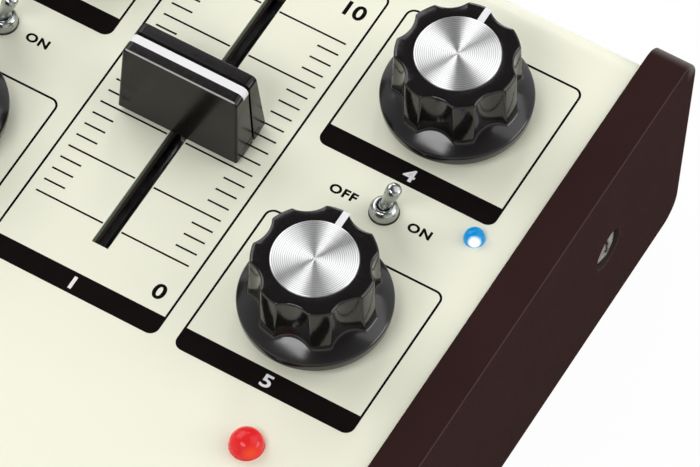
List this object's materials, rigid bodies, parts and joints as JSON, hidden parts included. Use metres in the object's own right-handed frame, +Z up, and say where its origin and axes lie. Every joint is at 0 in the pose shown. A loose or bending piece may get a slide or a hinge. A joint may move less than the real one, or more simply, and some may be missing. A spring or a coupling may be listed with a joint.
{
  "type": "delay pedal",
  "caption": "Low audio effect pedal with a cream folded case between dark end cheeks, skirted knobs, a slider, toggle switches, foot switches, lamps and rear sockets.",
  "frame": {"origin": "on the floor under the middle of the pedal", "axes": "+X to the player's right, +Y to the rear wall with the sockets, +Z up out of the panel"},
  "size_m": [0.119, 0.1392, 0.0541],
  "materials": {
    "cream_paint": "satin stove enamel on folded steel",
    "cheek_brown": "satin moulded plate",
    "bright_steel": "bright plated steel",
    "zinc_steel": "zinc plated steel",
    "foot_rubber": "moulded rubber",
    "board_green": "solder mask on glass laminate",
    "pillar_brass": "turned brass",
    "dust_black": "black fibre strip",
    "knob_black": "glossy phenolic",
    "line_white": "white filled line",
    "disc_aluminium": "spun aluminium with turning rings",
    "shaft_aluminium": "turned aluminium",
    "bright_chrome": "polished chrome",
    "lamp_red": "lit epoxy lens",
    "lamp_blue": "lit epoxy lens",
    "spacer_nylon": "nylon",
    "socket_black": "moulded nylon",
    "chip_black": "moulded epoxy",
    "capacitor_sleeve": "shrink sleeve",
    "switch_blue": "moulded housing"
  },
  "bodies": {
    "case": {"top_panel": "cream_paint", "case_walls": "cream_paint", "base_tray": "zinc_steel", "left_cheek": "cheek_brown", "right_cheek": "cheek_brown", "cheek_screws": "bright_steel", "cheek_nuts": "zinc_steel", "base_screws": "zinc_steel", "base_nuts": "zinc_steel", "rubber_feet": "foot_rubber", "main_board": "board_green", "board_pillars": "pillar_brass", "board_screws": "zinc_steel", "slider_track": "zinc_steel", "dust_strip": "dust_black", "pot_washers": "bright_steel", "pot_nuts": "bright_steel", "foot_switch_washers": "bright_chrome", "foot_switch_nuts": "bright_chrome", "left_red_lamp": "lamp_red", "right_red_lamp": "lamp_red", "blue_lamp_lens": "lamp_blue", "lamp_spacers": "spacer_nylon", "input_socket": "socket_black", "output_socket": "socket_black", "socket_nuts": "bright_chrome", "power_socket": "socket_black", "chips": "chip_black", "capacitors": "capacitor_sleeve", "left_rear_pot": "zinc_steel", "left_front_pot": "zinc_steel", "right_rear_pot": "zinc_steel", "right_front_pot": "zinc_steel", "left_toggle_switch": "bright_chrome", "left_foot_switch": "switch_blue", "right_toggle_switch": "bright_chrome", "right_foot_switch": "switch_blue"},
    "left_rear_control": {"left_rear_knob": "knob_black", "left_rear_disc": "disc_aluminium", "left_rear_pointer": "line_white", "left_rear_shaft": "shaft_aluminium"},
    "left_front_control": {"left_front_knob": "knob_black", "left_front_disc": "disc_aluminium", "left_front_pointer": "line_white", "left_front_shaft": "shaft_aluminium"},
    "right_rear_control": {"right_rear_knob": "knob_black", "right_rear_disc": "disc_aluminium", "right_rear_pointer": "line_white", "right_rear_shaft": "shaft_aluminium"},
    "right_front_control": {"right_front_knob": "knob_black", "right_front_disc": "disc_aluminium", "right_front_pointer": "line_white", "right_front_shaft": "shaft_aluminium"},
    "slider": {"slider_cap": "knob_black", "slider_line": "line_white", "slider_lever": "bright_steel"},
    "left_toggle": {"left_toggle_lever": "bright_chrome"},
    "right_toggle": {"right_toggle_lever": "bright_chrome"},
    "left_foot_button": {"left_plunger": "bright_chrome"},
    "right_foot_button": {"right_plunger": "bright_chrome"}
  },
  "joints": [
    {"name": "left_rear_knob_turn", "type": "hinge", "parent": "case", "child": "left_rear_control", "pos_m": [-0.033, 0.0439, 0.0395], "axis": [0, 0, 1], "range_deg": [-150, 150]},
    {"name": "left_front_knob_turn", "type": "hinge", "parent": "case", "child": "left_front_control", "pos_m": [-0.033, 0.003, 0.0395], "axis": [0, 0, 1], "range_deg": [-150, 150]},
    {"name": "right_rear_knob_turn", "type": "hinge", "parent": "case", "child": "right_rear_control", "pos_m": [0.033, 0.0439, 0.0395], "axis": [0, 0, 1], "range_deg": [-150, 150]},
    {"name": "right_front_knob_turn", "type": "hinge", "parent": "case", "child": "right_front_control", "pos_m": [0.033, 0.003, 0.0395], "axis": [0, 0, 1], "range_deg": [-150, 150]},
    {"name": "slider_travel", "type": "slide", "parent": "case", "child": "slider", "axis": [0, 1, 0], "range_m": [-0.0225, 0.0225]},
    {"name": "left_toggle_throw", "type": "hinge", "parent": "case", "child": "left_toggle", "pos_m": [-0.033, 0.0226, 0.0411], "axis": [0, 1, 0], "range_deg": [-32, 0]},
    {"name": "right_toggle_throw", "type": "hinge", "parent": "case", "child": "right_toggle", "pos_m": [0.033, 0.0226, 0.0411], "axis": [0, 1, 0], "range_deg": [-32, 0]},
    {"name": "left_foot_press", "type": "slide", "parent": "case", "child": "left_foot_button", "axis": [0, 0, -1], "range_m": [0, 0.002], "stiffness_N_per_m": 3000, "springref_m": -0.001},
    {"name": "right_foot_press", "type": "slide", "parent": "case", "child": "right_foot_button", "axis": [0, 0, -1], "range_m": [0, 0.002], "stiffness_N_per_m": 3000, "springref_m": -0.001}
  ]
}
